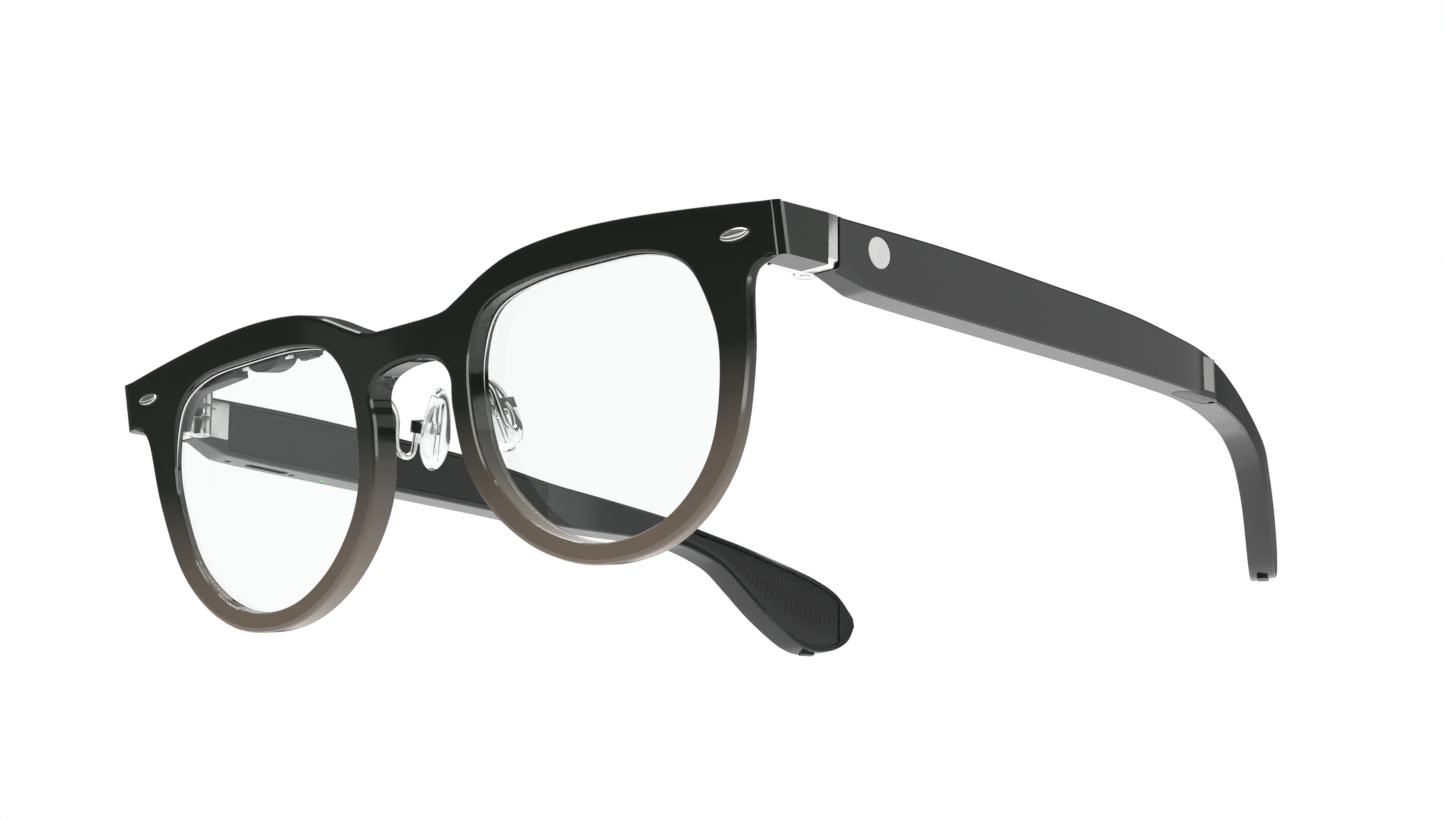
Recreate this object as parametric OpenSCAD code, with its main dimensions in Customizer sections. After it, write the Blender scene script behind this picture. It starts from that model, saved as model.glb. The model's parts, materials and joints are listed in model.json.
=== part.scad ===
// Smart glasses with folding temples, adjustable nose pads and a small eye-level display.
// Millimetres. X runs across the face, Y runs back along the temples and Z is up.
// The glasses stand on the rims and the temple tips, opened, with the origin below their middle.

/* [Lenses] */
// Width of one lens opening
lens_w = 48.8; // [40:0.2:60]
// Height of one lens opening
lens_h = 40.7; // [34:0.1:50]
// Gap between the two lens openings
bridge_w = 26.2; // [22:0.2:34]
// Thickness of a lens
lens_t = 1.1; // [0.9:0.1:1.3]
// How far the lens reaches into the groove of its rim
lens_bite = 0.8; // [0.5:0.1:1.2]
// Thickness of the rim behind a lens
lens_lip = 0.45; // [0.4:0.05:0.8]

/* [Front] */
// Thickness of the front at its middle, in front of its flat back
frame_t = 4.9; // [4.8:0.1:6]
// How far the curve of the front takes its corners back behind its middle
face_drop = 4.11; // [3.6:0.01:4.3]
// Height of the brow above the lens opening
brow_h = 5.5; // [4.6:0.1:8]
// Height of the bridge bar
bridge_h = 5.9; // [4.6:0.1:8]
// Width of the rim below the lens
rim_bottom = 3.2; // [2.6:0.1:5]
// Width of the rim on the temple side
rim_side = 5.8; // [4:0.1:7]
// Width of the rim on the nose side
rim_nose = 4.4; // [3.4:0.1:6]
// Distance from the lens opening to the side face of the end piece
end_w = 13.5; // [12.6:0.1:18]

/* [Temples] */
// Length of a temple behind its hinge pin, along the temple
temple_len = 140.4; // [116:0.1:172]
// Thickness of a temple
temple_t = 5.2; // [4.8:0.1:6.4]
// Height of the temple above the middle of the hinge
temple_up = 4.2; // [3.8:0.1:5.4]
// Depth of the temple below the middle of the hinge
temple_down = 6.1; // [5.4:0.1:7.6]
// How far the tip reaches below the middle of the hinge
tip_drop = 25.1; // [21:0.1:30]
// How far the tip curves in towards the head
tip_in = 24; // [18:0.5:28]
// Downward slope of the temples from the front's own square direction
panto = 10.5; // [6:0.5:13]
// Thickness of the outer wall of a temple
wall = 1; // [0.8:0.1:1.2]
// Thickness of the inner cover of a temple
cover_t = 1; // [0.7:0.1:1.2]
// Play round a cover, plate or trim in its seat
seat_gap = 0.06; // [0.03:0.01:0.15]

/* [Hinge] */
// Distance of the hinge pin behind the front face of the bridge
hinge_y = 16; // [14:0.5:20]
// Height of the middle of the hinge above the middle of the lens
hinge_up = 17.15; // [15:0.05:18.5]
// Radius of the knuckles
barrel_r = 1.7; // [1.5:0.05:2]
// Radius of the hinge pin
pin_r = 0.6; // [0.5:0.05:0.8]
// Running gap between the pin and the knuckles
pin_gap = 0.04; // [0.02:0.01:0.08]
// Height of the middle knuckle
knuckle_h = 2.1; // [1.8:0.1:2.6]
// Free gap round the knuckles and between the front and a temple
hinge_gap = 0.2; // [0.15:0.01:0.3]
// Width of the metal strip on the end piece
strip_w = 2.2; // [1.8:0.1:3]
// Thickness of the hinge plates
plate_t = 1.6; // [1.2:0.1:1.8]

/* [Nose pads] */
// Height of a nose pad
pad_h = 13; // [11:0.5:15]
// Width of a nose pad
pad_w = 7.6; // [6:0.2:8.4]
// Thickness of a nose pad
pad_t = 1.7; // [1.4:0.1:2.2]
// Distance of each pad's pivot from the middle
pad_x = 9.2; // [8:0.1:11]
// Distance of each pad's pivot behind the front face of the bridge
pad_y = 10.9; // [10:0.1:13]
// Height of each pad's pivot above the middle of the lens
pad_up = 4.4; // [3:0.1:8]
// Radius of the wire of the pad arms
arm_r = 0.5; // [0.4:0.05:0.6]
// Radius of the screw through the pad box
pad_screw_r = 0.45; // [0.35:0.05:0.55]

/* [Display] */
// Distance of the middle of the display from the middle of the front
display_x = 38.5; // [36:0.5:42]
// Depth of the display parts behind the front
display_t = 3.4; // [2.8:0.1:4.5]
// Travel of the display carriage each way
display_travel = 2.5; // [1:0.1:3]
// Radius of the focus dial
dial_r = 1.6; // [1.4:0.1:1.65]

/* [Electronics] */
// Length of the main circuit board
board_l = 26; // [20:1:28]
// Thickness of the battery
battery_t = 2.4; // [1.8:0.1:2.6]
// Width of the charging socket
socket_w = 8.94; // [8.9:0.01:9]
// Height of the charging socket
socket_h = 3.16; // [3.1:0.01:3.2]
// Travel of the control key
key_travel = 0.35; // [0.2:0.05:0.5]

/* [Hidden] */
$fn = 48;

// Sides of the two mirror-image halves
LEFT = 1;
RIGHT = -1;

// A small overlap that lets one shape cut cleanly through another
cut = 0.5;

// Lens opening
lens_cx = bridge_w / 2 + lens_w / 2;
lens_top = lens_h / 2;
half_front = bridge_w / 2 + lens_w + end_w;
wrap_r = (half_front * half_front + face_drop * face_drop) / (2 * face_drop);

// Hinge and the two faces of a temple at its front end
side_in = half_front - temple_t;
pin_x = side_in - 1.3;
end_top = temple_up - 0.75;
end_low = -temple_down + 1.9;
knuckle_gap = hinge_gap / 2;

// Cavity of a temple, measured from the hinge pin
cavity_v0 = 7.2;
cavity_v1 = temple_len - 60.4;
cover_rim = 0.9;
ledge = 0.7;
cavity_in = side_in + cover_t;
cavity_out = half_front - wall;
part_gap = 0.8;

// Places along a temple, measured from the hinge pin
mic_v = [9.5, 23.6];
grille_v = 17.6;
grille_l = 9;
light_v = 30.5;
board_v = cavity_v0 + part_gap;
speaker_v = board_v + board_l + part_gap;
speaker_l = 9.6;
battery_v = speaker_v + speaker_l + part_gap;
battery_l = cavity_v1 - part_gap - battery_v;
socket_v = temple_len - 52.4;
key_v = 14;
key_l = 8;
emblem_v = 8.8;
emblem_r = 2.4;
grip_v0 = temple_len - 34;
grip_t = 1.1;
grip_rim = 1.1;
core_v0 = socket_v + 8;

// Shape of the lens opening as shares of its half width and half height, from the temple side up
LENS_SHAPE = [
    [0.99, 0.1], [0.97, 0.45], [0.84, 0.8], [0.55, 0.965], [0.1, 1], [-0.4, 0.99],
    [-0.78, 0.88], [-0.955, 0.58], [-0.995, 0.2], [-0.955, -0.17], [-0.82, -0.48],
    [-0.57, -0.765], [-0.25, -0.95], [0.08, -1], [0.42, -0.925], [0.7, -0.71], [0.89, -0.39]
];

// ---- Curves ----

// Point between b and c on a smooth curve that also nears a and d
function blend(a, b, c, d, t) =
    0.5 * (2 * b + t * (c - a) + t * t * (2 * a - 5 * b + 4 * c - d)
    + t * t * t * (3 * b - 3 * c + d - a));

function closed_curve(p, steps) = let (n = len(p)) [
    for (i = [0 : n - 1]) for (j = [0 : steps - 1])
        blend(p[(i + n - 1) % n], p[i], p[(i + 1) % n], p[(i + 2) % n], j / steps)
];

function open_curve(p, steps) = let (n = len(p)) concat([
    for (i = [0 : n - 2]) for (j = [0 : steps - 1])
        blend(p[max(i - 1, 0)], p[i], p[i + 1], p[min(i + 2, n - 1)], j / steps)
], [p[n - 1]]);

function reversed(p) = [for (i = [len(p) - 1 : -1 : 0]) p[i]];

// Outward direction at point i of a closed outline that runs anticlockwise
function outward(p, i) = let (n = len(p), d = p[(i + 1) % n] - p[(i + n - 1) % n])
    [d[1], -d[0]] / norm(d);

function grown(p, by) = [for (i = [0 : len(p) - 1]) p[i] + by * outward(p, i)];

function oval(half_w, half_h, n) = [for (i = [0 : n - 1])
    [half_w * cos(360 * i / n), half_h * sin(360 * i / n)]];

// ---- Outlines of the front, as seen from the front ----

lens_points = [for (s = LENS_SHAPE) [lens_cx + s[0] * lens_w / 2, s[1] * lens_h / 2]];
lens_outline = closed_curve(lens_points, 4);

// Width of the rim beside point s of the lens shape, for the sides and the bottom
function rim_width(s) = rim_bottom
    + ((s[0] > 0 ? rim_side : rim_nose) - rim_bottom) * min(1, max(0, 1 + s[1]));

rim_run = [for (k = [17 : -1 : 8]) let (i = k % 17)
    lens_points[i] + rim_width(LENS_SHAPE[i]) * outward(lens_points, i)];

// Height of the side face of the end piece, at the front corner
corner_top = lens_top + 2.1;
corner_low = lens_top - 5.6;
bridge_top = lens_top - 1.5;
bridge_low = bridge_top - bridge_h;
nose_x = bridge_w / 2 - rim_nose;

top_run = open_curve([
    [0, bridge_top], [nose_x - 0.6, bridge_top + 0.2], [nose_x + 3.8, bridge_top + 1.7],
    [nose_x + 9.6, lens_top + brow_h - 2.7], [lens_cx - 12.5, lens_top + brow_h - 0.8],
    [lens_cx - 2.5, lens_top + brow_h], [lens_cx + 9, lens_top + brow_h - 0.3],
    [lens_cx + 23, lens_top + brow_h - 1.6], [half_front, corner_top]
], 4);

low_run = open_curve(concat(
    [[half_front, corner_low], [half_front - 3.4, corner_low - 0.5],
     [half_front - 6.3, corner_low - 2.9]],
    rim_run,
    [[nose_x + 0.3, bridge_low - 4], [nose_x - 1.6, bridge_low - 1.4],
     [nose_x - 5, bridge_low - 0.3], [0, bridge_low]]
), 4);

front_outline = concat(
    reversed(low_run), reversed(top_run),
    [for (i = [1 : len(top_run) - 1]) [-top_run[i][0], top_run[i][1]]],
    [for (i = [0 : len(low_run) - 2]) [-low_run[i][0], low_run[i][1]]]
);

// ---- Outlines of a temple, as seen from the side: [distance behind the pin, height] ----

// Length of the straight part, ahead of the drop to the tip
straight_l = temple_len - 59;

temple_top = open_curve([
    [hinge_gap, end_top], [straight_l * 0.293, temple_up], [straight_l * 0.569, temple_up - 0.1],
    [straight_l * 0.828, temple_up - 0.5], [straight_l, temple_up - 1.7],
    [temple_len - 47, temple_up - 2.9], [temple_len - 34.5, temple_up - 5.1],
    [temple_len - 26.5, temple_up - 7.3], [temple_len - 19, temple_up - 9.5],
    [temple_len - 11.5, temple_up - 12.6], [temple_len - 6.4, temple_up - 15.1],
    [temple_len - 2.8, temple_up - 17.8], [temple_len - 0.4, -tip_drop + 7.6],
    [temple_len, -tip_drop + 5.3]
], 3);

temple_low = open_curve([
    [temple_len, -tip_drop + 5.3], [temple_len - 1, -tip_drop + 2.4],
    [temple_len - 3.2, -tip_drop + 0.6], [temple_len - 6.3, -tip_drop],
    [temple_len - 9.2, -tip_drop + 1], [temple_len - 12, -tip_drop + 3.3],
    [temple_len - 15.5, -tip_drop + 6.9], [temple_len - 19, -tip_drop + 11],
    [temple_len - 23.4, -temple_down - 3.6], [temple_len - 29.4, -temple_down - 0.8],
    [temple_len - 34.4, -temple_down], [temple_len - 42.4, -temple_down + 0.4],
    [straight_l * 0.958, -temple_down + 0.5], [straight_l * 0.793, -temple_down + 0.5],
    [straight_l * 0.431, -temple_down + 0.1], [6.5, -temple_down]
], 3);

temple_side = concat(temple_top, [for (i = [1 : len(temple_low) - 1]) temple_low[i]],
    [[hinge_gap, end_low]]);

// Height of a smooth edge at distance v, read off its points
function edge_at(edge, v) = lookup(v, edge);

// ---- Outlines of a temple, as seen from above: [across, distance behind the pin] ----

// Inward curve of the tip, as a share of its full amount
TIP_CURVE = [
    [81, 0], [61, 0.008], [53, 0.035], [45, 0.115], [37, 0.23], [31, 0.325], [25, 0.42],
    [18, 0.55], [11, 0.72], [5, 0.87], [-1, 1.02]
];
function temple_edge(x) = concat([[x, 0]],
    open_curve([for (p = TIP_CURVE) [x - tip_in * p[1], temple_len - p[0]]], 3));

// How far the curved part of the tip has moved in at distance v
function tip_shift(v) = tip_in * lookup(temple_len - v,
    [for (i = [len(TIP_CURVE) - 1 : -1 : 0]) TIP_CURVE[i]]);

module strip_plan(x0, x1) {
    polygon(concat(temple_edge(x1), reversed(temple_edge(x0))));
}

// ---- Placing ----

// Height of the hinge's middle and of the lens's middle in the front's own frame
hinge_z = hinge_up;

// How far the small tab stands out below the tip
tab_drop = 0.35;

// Lowest points of a rim and of a tip, which both touch the table
tip_low_v = temple_len - 6.3;
tip_low_y = hinge_y + tip_low_v * cos(panto) - tip_drop * sin(panto);
tip_low_z = hinge_z - tip_low_v * sin(panto) - (tip_drop + tab_drop) * cos(panto);
rim_low_y = rim_front(lens_cx);
rim_low_z = -lens_h / 2 - rim_bottom;
rest_tilt = atan2(rim_low_z - tip_low_z, tip_low_y - rim_low_y);
rest_lift = -(rim_low_y * sin(rest_tilt) + rim_low_z * cos(rest_tilt));

// Front and back ends of the whole, which the origin lies halfway between
front_end_y = rim_front(lens_cx) * cos(rest_tilt) - (lens_top + brow_h) * sin(rest_tilt);
back_end_y = (hinge_y + temple_len * cos(panto) + (5 - tip_drop) * sin(panto)) * cos(rest_tilt)
    - (hinge_z - temple_len * sin(panto) + (5 - tip_drop) * cos(panto)) * sin(rest_tilt);
rest_shift = -(front_end_y + back_end_y) / 2;

// Distance of the front face behind the middle of the bridge, at x
function rim_front(x) = x * x / wrap_r / 2;

module at_rest() {
    translate([0, rest_shift, rest_lift]) rotate([rest_tilt, 0, 0]) children();
}

module on_side(side) {
    mirror([side == RIGHT ? 1 : 0, 0, 0]) children();
}

// Frame of a temple: X across, Y back along the temple from the hinge pin, Z up square to it
module temple_frame() {
    translate([0, hinge_y, hinge_z]) rotate([-panto, 0, 0]) children();
}

// Extrudes an outline drawn in X and Z towards the back, from y0 to y1
module from_front(y0, y1) {
    translate([0, y1, 0]) rotate([90, 0, 0]) linear_extrude(y1 - y0) children();
}

// Extrudes an outline drawn as [distance back, height] across, from x0 to x1
module from_side(x0, x1) {
    translate([x0, 0, 0]) rotate([90, 0, 90]) linear_extrude(x1 - x0) children();
}

// Extrudes an outline drawn as [across, distance back] upwards, from z0 to z1
module from_top(z0, z1) {
    translate([0, 0, z0]) linear_extrude(z1 - z0) children();
}

module box(x0, x1, y0, y1, z0, z1) {
    translate([x0, y0, z0]) cube([x1 - x0, y1 - y0, z1 - z0]);
}

// Slab that follows the curve of the front, from depth d0 to depth d1 behind its face
module wrap_slab(d0, d1) {
    translate([0, wrap_r, -60]) difference() {
        cylinder(r = wrap_r - d0, h = 120, $fn = 360);
        translate([0, 0, -1]) cylinder(r = wrap_r - d1, h = 122, $fn = 360);
    }
}

// Everything behind the curved face of the front
module behind_face() {
    translate([0, wrap_r, -60]) cylinder(r = wrap_r, h = 120, $fn = 360);
}

// ---- Front ----

// End piece: the block that runs back from the front's corner to the hinge
module end_piece() {
    intersection() {
        temple_frame() box(side_in, half_front, -16, -strip_w - seat_gap, end_low, end_top);
        behind_face();
    }
}

// Vertical bevel with two facets at the front corner
module corner_cut() {
    y = rim_front(half_front);
    from_top(-60, 60) polygon([
        [half_front - 3, y - 5], [half_front - 3, y - 0.35], [half_front - 1.1, y + 0.35],
        [half_front + 1.1, y + 3.85], [half_front + 5, y + 3.85], [half_front + 5, y - 5]
    ]);
}

module rivet_outline(gap) {
    translate([half_front - 8.1, lens_top - 1.4]) polygon(oval(2.65 + gap, 0.95 + gap, 28));
}

module front_frame() {
    color([0.16, 0.17, 0.15]) difference() {
        union() {
            intersection() {
                from_front(-2, frame_t) polygon(front_outline);
                behind_face();
            }
            for (side = [LEFT, RIGHT]) on_side(side) end_piece();
        }
        for (side = [LEFT, RIGHT]) on_side(side) {
            from_front(-5, 30) polygon(lens_outline);
            from_front(lens_y - seat_gap, lens_y + lens_t + seat_gap)
                polygon(grown(lens_outline, lens_bite));
            corner_cut();
            intersection() {
                from_front(-5, 30) rivet_outline(seat_gap);
                wrap_slab(-1, rivet_in + seat_gap);
            }
            temple_frame() barrel_room();
            pad_foot(seat_gap);
        }
    }
}

// Front face of a lens
lens_y = frame_t - lens_lip - lens_t;
rivet_in = 1.2;
rivet_out = 0.45;

module lens() {
    color([0.86, 0.9, 0.9, 0.35])
        from_front(lens_y, lens_y + lens_t) polygon(grown(lens_outline, lens_bite - seat_gap));
}

module rivets() {
    color([0.82, 0.82, 0.82]) for (side = [LEFT, RIGHT]) on_side(side) intersection() {
        from_front(-5, 30) rivet_outline(0);
        wrap_slab(-rivet_out, rivet_in);
    }
}

// ---- Hinge ----

// Room that the end piece and the temple leave round the knuckles
module barrel_room() {
    translate([pin_x, 0, -20]) cylinder(r = barrel_r + hinge_gap, h = 40);
}

module knuckle(z0, z1) {
    translate([pin_x, 0, z0]) cylinder(r = barrel_r, h = z1 - z0);
}

module pin_bore() {
    translate([pin_x, 0, -20]) cylinder(r = pin_r + pin_gap, h = 40);
}

// Metal strip on the end of the end piece, with the hinge leaf and its two outer knuckles
module hinge_plate() {
    color([0.83, 0.83, 0.82]) temple_frame() difference() {
        union() {
            difference() {
                union() {
                    box(side_in - 0.1, half_front, -strip_w, -hinge_gap, end_low, end_top);
                    box(side_in - plate_t, side_in - seat_gap, leaf_v0, -1.2, end_low, end_top);
                }
                barrel_room();
                translate([half_front, 0, end_low]) rotate([0, 45, 0])
                    box(-0.7, 0.7, -5, 5, -0.7, 0.7);
            }
            for (span = [[end_low, -knuckle_h / 2 - knuckle_gap], [knuckle_h / 2 + knuckle_gap, end_top]]) {
                knuckle(span[0], span[1]);
                box(side_in - plate_t, side_in - seat_gap, leaf_v0, -0.5, span[0], span[1]);
            }
        }
        pin_bore();
    }
}
leaf_v0 = -7.6;

module hinge_pin() {
    color([0.7, 0.7, 0.7]) temple_frame() translate([pin_x, 0, 0]) {
        translate([0, 0, end_low]) cylinder(r = pin_r, h = end_top - end_low);
        difference() {
            translate([0, 0, end_top]) cylinder(r = pin_r + 0.5, h = 0.45);
            box(-0.15, 0.15, -2, 2, end_top + 0.2, end_top + 1);
        }
    }
}

// Middle knuckle with the block that carries the temple
module temple_knuckle() {
    color([0.83, 0.83, 0.82]) temple_frame() difference() {
        union() {
            knuckle(-knuckle_h / 2, knuckle_h / 2);
            box(side_in - 1.9, side_in - 0.2, 0, block_v0 + cut, -knuckle_h / 2, knuckle_h / 2);
            box(side_in - 0.5, cavity_in + 0.2, block_v0, block_v1, end_low + 0.6, end_top - 0.6);
        }
        pin_bore();
    }
}
block_v0 = barrel_r + hinge_gap + 0.2;
block_v1 = 6.4;

// ---- Nose pads ----

// Wire of the pad arm, from the foot in the rim round to the pad box
foot = [nose_x + 2.3, frame_t - 1.5, pad_up + 4];
ARM = [
    foot, foot + [0, 1.6, 0], foot + [0, 2.6, 0], foot + [0.5, 3.9, -2.2],
    [pad_x + 3.4, pad_y - 3.2, pad_up - 2.4],
    [pad_x + 3.3, pad_y - 2, pad_up - 4], [pad_x + 2.9, pad_y - 0.6, pad_up - 3.7],
    [pad_x + 2.2, pad_y - 0.1, pad_up - 1.4], [pad_x + 1.2, pad_y - 0.5, pad_up + 0.35]
];

module rod(a, b, r) {
    d = b - a;
    translate(a) rotate([0, acos(d[2] / norm(d)), atan2(d[1], d[0])])
        cylinder(r = r, h = norm(d), $fn = 24);
}

module pad_foot(gap) {
    rod(foot, foot + [0, 2.6, 0], arm_r + gap);
}

// Frame of a pad: Z up along the pad, Y back along the pivot, X away from the nose
module pad_frame() {
    translate([pad_x, pad_y, pad_up]) rotate([0, -pad_splay, 0]) rotate([0, 0, -pad_yaw]) children();
}

pad_splay = 18;
pad_yaw = 14;
lug_w = 1.3;
box_w = 3;
box_x = 0.95;
pad_back = 1.35;

// Round wire along points whose direction never comes near X
module wire(p, r) {
    n = 12;
    last = len(p) - 1;
    rings = [for (i = [0 : last]) let (
        d = p[min(i + 1, last)] - p[max(i - 1, 0)],
        a = cross(d, [1, 0, 0]) / norm(cross(d, [1, 0, 0])),
        b = cross(d, a) / norm(d)
    ) [for (k = [0 : n - 1]) p[i] + r * (a * cos(360 * k / n) + b * sin(360 * k / n))]];
    polyhedron(
        points = [for (ring = rings) each ring],
        faces = concat(
            [[for (k = [0 : n - 1]) k]],
            [[for (k = [n - 1 : -1 : 0]) last * n + k]],
            [for (i = [0 : last - 1], k = [0 : n - 1]) let (m = (k + 1) % n)
                [i * n + m, i * n + k, (i + 1) * n + k, (i + 1) * n + m]]
        )
    );
}

module pad_arm() {
    color([0.85, 0.85, 0.84]) wire(open_curve(ARM, 4), arm_r);
}

// Box that the arm is soldered to, with two ears for the screw
module pad_box() {
    color([0.85, 0.85, 0.84]) pad_frame() difference() {
        box(-box_x, box_x + 0.7, -box_w / 2, box_w / 2, -box_x, box_x);
        box(-5, box_x, -lug_w / 2 - 0.1, lug_w / 2 + 0.1, -5, 5);
        rotate([90, 0, 0]) cylinder(r = pad_screw_r + 0.02, h = 20, center = true);
    }
}

module pad_screw() {
    color([0.7, 0.7, 0.7]) pad_frame() rotate([90, 0, 0]) {
        cylinder(r = pad_screw_r, h = box_w, center = true);
        translate([0, 0, box_w / 2]) cylinder(r = pad_screw_r + 0.35, h = 0.4);
    }
}

// Drop-shaped pad with a lug that turns on the screw
pad_outline = closed_curve([
    [-0.5 * pad_w, -0.12 * pad_h], [-0.36 * pad_w, -0.38 * pad_h], [0, -0.5 * pad_h],
    [0.36 * pad_w, -0.38 * pad_h], [0.5 * pad_w, -0.12 * pad_h], [0.4 * pad_w, 0.2 * pad_h],
    [0.22 * pad_w, 0.43 * pad_h], [0, 0.5 * pad_h], [-0.22 * pad_w, 0.43 * pad_h],
    [-0.4 * pad_w, 0.2 * pad_h]
], 4);

module nose_pad() {
    color([0.9, 0.92, 0.92, 0.5]) pad_frame() difference() {
        union() {
            from_side(-pad_back - pad_t, -pad_back) polygon(pad_outline);
            box(-pad_back - cut, 0, -lug_w / 2, lug_w / 2, -0.8, 0.8);
            rotate([90, 0, 0]) cylinder(r = 0.8, h = lug_w, center = true);
        }
        rotate([90, 0, 0]) cylinder(r = pad_screw_r + 0.06, h = 20, center = true);
    }
}

// ---- Display, on the wearer's right ----

// Frame of the display: X outwards along the rail, Y back from the frame, Z up from the rail
module display_frame() {
    mirror([1, 0, 0]) translate([display_x, frame_t, lens_top]) children();
}

// Shaft along X of the display frame, on the centre line of the rail
module rail_rod(x0, x1, r) {
    translate([x0, display_t / 2, 0]) rotate([0, 90, 0]) cylinder(r = r, h = x1 - x0);
}

// Places along the rail, from the middle of the display
carriage_w = 8;
slide_end = carriage_w / 2 + display_travel + 0.2;
housing_x0 = slide_end + 1.3;
housing_x1 = half_front - 9.4 - display_x;
rail_r = 0.6;
rail_seat = 2.5;
bracket_w = 0.9;
dial_l = 3;
dial_gap = 0.3;
rail_x0 = -slide_end - bracket_w - dial_gap + 0.1 - dial_l;
rail_play = 0.05;

module display_housing() {
    color([0.13, 0.14, 0.13]) display_frame() difference() {
        from_front(0, display_t) polygon([
            [housing_x0, 3.4], [housing_x1, 1.6], [housing_x1, -7.6], [housing_x1 - 3.2, -7.6],
            [housing_x1 - 5, -4.6], [housing_x1 - 9, -2.2], [housing_x0, -1.5]
        ]);
        rail_rod(0, housing_x0 + rail_seat, rail_r + seat_gap);
    }
}

// Rail with the bracket that holds its inner end
module display_rail() {
    color([0.75, 0.75, 0.75]) display_frame() {
        rail_rod(rail_x0, housing_x0 + rail_seat, rail_r);
        box(-slide_end - bracket_w, -slide_end, 0, display_t / 2 + 1, -1, 1.4);
    }
}

// Carriage that slides on the rail, with a rounded lower side
module display_carriage() {
    color([0.15, 0.16, 0.15]) display_frame() difference() {
        from_front(0.15, display_t + 0.5) polygon(concat(
            [for (a = [180 : 20 : 360]) [carriage_w / 2 * cos(a), 1.9 * sin(a)]],
            [[carriage_w / 2, 1.5], [-carriage_w / 2, 1.5]]));
        rail_rod(-20, 20, rail_r + rail_play);
        optic_rod(seat_gap, 4);
    }
}

// Eyepiece in the back of the carriage
module optic_rod(gap, l) {
    translate([0, display_t + 0.1 - gap, 0]) rotate([-90, 0, 0]) cylinder(r = 1.2 + gap, h = l);
}

module display_optic() {
    color([0.6, 0.7, 0.75, 0.6]) display_frame() optic_rod(0, 0.6);
}

// Ribbed dial that turns on the inner end of the rail
module display_dial() {
    color([0.2, 0.2, 0.2]) display_frame() difference() {
        rail_rod(rail_x0 - 0.6, rail_x0 + dial_l - 0.1, dial_r);
        rail_rod(rail_x0 - 0.1, rail_x0 + 9, rail_r + rail_play);
        translate([0, display_t / 2, 0]) for (a = [0 : 30 : 330]) rotate([a, 0, 0])
            translate([0, dial_r + 0.12, 0]) rotate([0, 90, 0])
                cylinder(r = 0.28, h = 40, center = true, $fn = 16);
    }
}

// ---- Temples ----

// Outline of the cover and cavity, `inset` from the seat of the cover
function cover_outline(inset) = let (
    v0 = block_v1 + 0.5 + inset, v1 = cavity_v1 + 1.6 - inset,
    rim = cover_rim + inset,
    top = [for (p = temple_top) if (p[0] > v0 + 1 && p[0] < v1 - 1) [p[0], p[1] - rim]],
    low = [for (p = temple_low) if (p[0] > v0 + 1 && p[0] < v1 - 1) [p[0], p[1] + rim]]
) concat(
    [[v0, edge_at(temple_top, v0) - rim]], top, [[v1, edge_at(temple_top, v1) - rim]],
    [[v1, low_edge(v1) + rim]], low, [[v0, low_edge(v0) + rim]]
);

// Height of the lower edge at distance v, ahead of the tip
straight_low = [for (i = [len(temple_low) - 1 : -1 : len(temple_low) - 16]) temple_low[i]];
function low_edge(v) = lookup(v, straight_low);

// A slice of the temple's thickness, following its plan curve, from depth d0 to d1 of its inner face
module inner_slab(d0, d1) {
    from_top(-60, 60) strip_plan(side_in + d0, side_in + d1);
}

module rounded_slot(l, w) {
    for (s = [-1, 1]) translate([0, s * (l - w) / 2]) circle(d = w, $fn = 32);
    square([w, l - w], center = true);
}

// Rounded slot seen from below, centred at distance v and depth d from the inner face
module slot_cut(v, d, l, w, z0, z1) {
    translate([side_in + d, v, 0]) from_top(z0, z1) rounded_slot(l, w);
}

// Rounded slot in the inner cover, beside the ear, from depth d0 to d1 of the inner face
module ear_slot(gap, d0, d1) {
    translate([side_in + d0, speaker_v + speaker_l / 2, 0]) rotate([0, 90, 0])
        linear_extrude(d1 - d0) rounded_slot(grille_l + 2 * gap, grille_w + 2 * gap);
}

socket_d = temple_t / 2;
plug_t = 1;

module temple_body() {
    intersection() {
        from_side(0, half_front + 1) polygon(temple_side);
        from_top(-60, 60) strip_plan(side_in, half_front);
    }
}

function grip_outline(inset) = let (
    top = [for (p = temple_top) if (p[0] > grip_v0) p],
    low = [for (p = temple_low) if (p[0] > grip_v0 && p[0] < temple_len - 0.1) p],
    ring = reversed(concat(top, low))
) grown(ring, -inset);

module temple_shell(side) {
    color([0.23, 0.24, 0.23]) on_side(side) temple_frame() difference() {
        temple_body();
        barrel_room();
        box(0, cavity_in + 0.2 + seat_gap, -5, block_v1 + seat_gap, end_low + 0.6 - seat_gap,
            end_top - 0.6 + seat_gap);
        from_side(side_in - 1, cavity_in) polygon(cover_outline(0));
        from_side(cavity_in - cut, cavity_out) polygon(cover_outline(ledge));
        intersection() {
            from_side(0, half_front) polygon(grip_outline(grip_rim));
            inner_slab(-3, grip_t + seat_gap);
        }
        tip_core_room(seat_gap);
        emblem_disc(seat_gap, 1);
        tab_box(seat_gap);
        if (side == RIGHT) right_temple_cuts();
        if (side == LEFT) port_cuts();
    }
}

grille_d = temple_t - wall - 1.4;
grille_w = 1.6;
grille_pitch = 1.1;

module temple_cover(side) {
    color([0.2, 0.21, 0.2]) on_side(side) temple_frame() difference() {
        from_side(side_in, cavity_in - seat_gap) polygon(cover_outline(seat_gap));
        if (side == LEFT) ear_slot(seat_gap, -1, 3);
    }
}

module emblem_disc(gap, out) {
    translate([half_front - 0.35, emblem_v, 0]) rotate([0, 90, 0])
        cylinder(r = emblem_r + gap, h = 0.35 + out);
}

module emblem(side) {
    color([0.9, 0.9, 0.9]) on_side(side) temple_frame() difference() {
        emblem_disc(0, 0);
        translate([half_front - 0.1, emblem_v, 0]) rotate([0, 90, 0]) cylinder(r = emblem_r - 0.7, h = 1);
    }
}

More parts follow.
